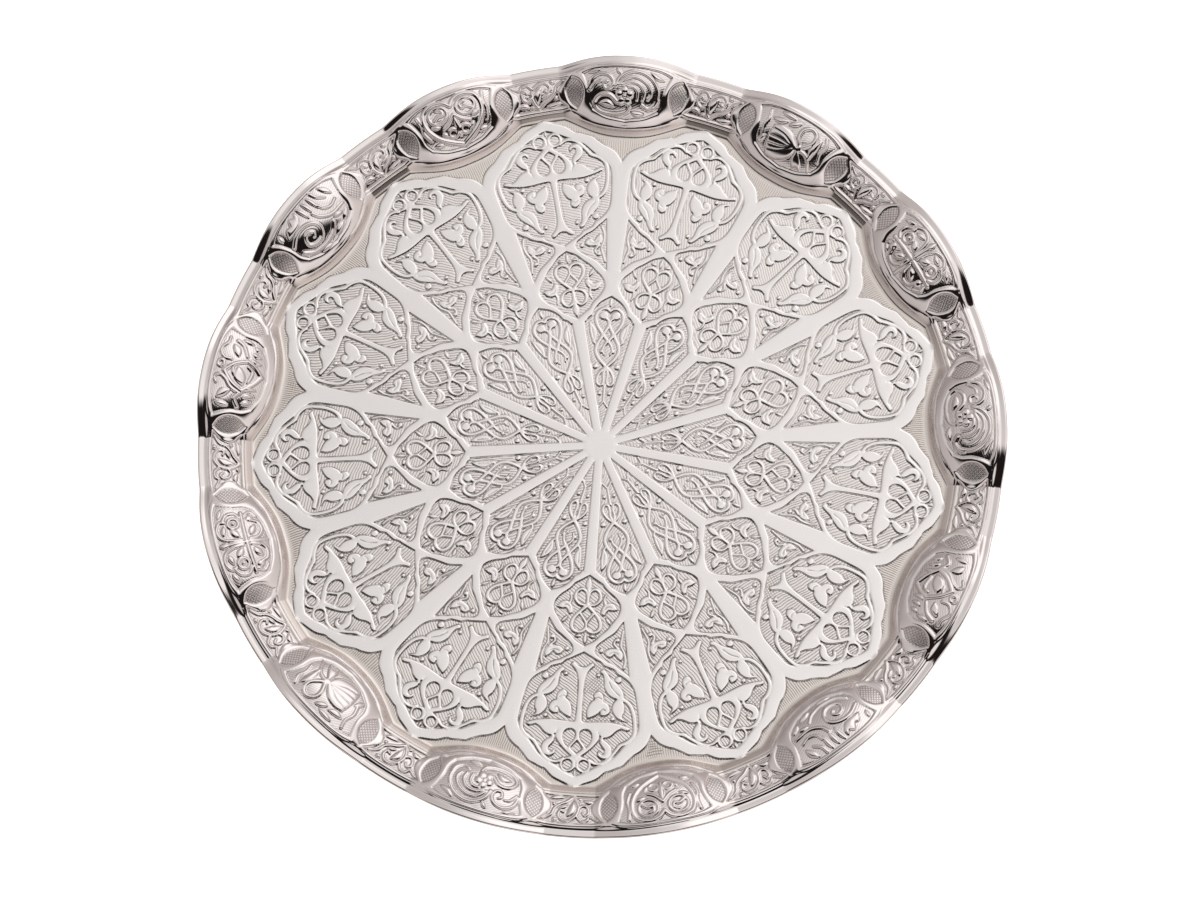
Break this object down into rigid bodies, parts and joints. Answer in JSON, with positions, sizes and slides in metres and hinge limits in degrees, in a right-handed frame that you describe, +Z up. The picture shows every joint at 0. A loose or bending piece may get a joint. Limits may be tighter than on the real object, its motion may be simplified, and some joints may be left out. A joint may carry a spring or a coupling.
{
  "type": "offering plate",
  "caption": "Round shallow offering plate of embossed silver-plated sheet with a lobed, wavy wall and a rolled, wired edge.",
  "frame": {"origin": "centre of the flat underside of the floor", "axes": "+Z up out of the dish, +X through the middle of one lobe of the wall"},
  "size_m": [0.3479, 0.3486, 0.0139],
  "materials": {
    "silver_plate": "silver plate, satin ground with polished raised work",
    "wire_steel": "drawn wire"
  },
  "bodies": {
    "root": {"dish_sheet": "silver_plate", "edge_wire": "wire_steel"}
  },
  "joints": []
}
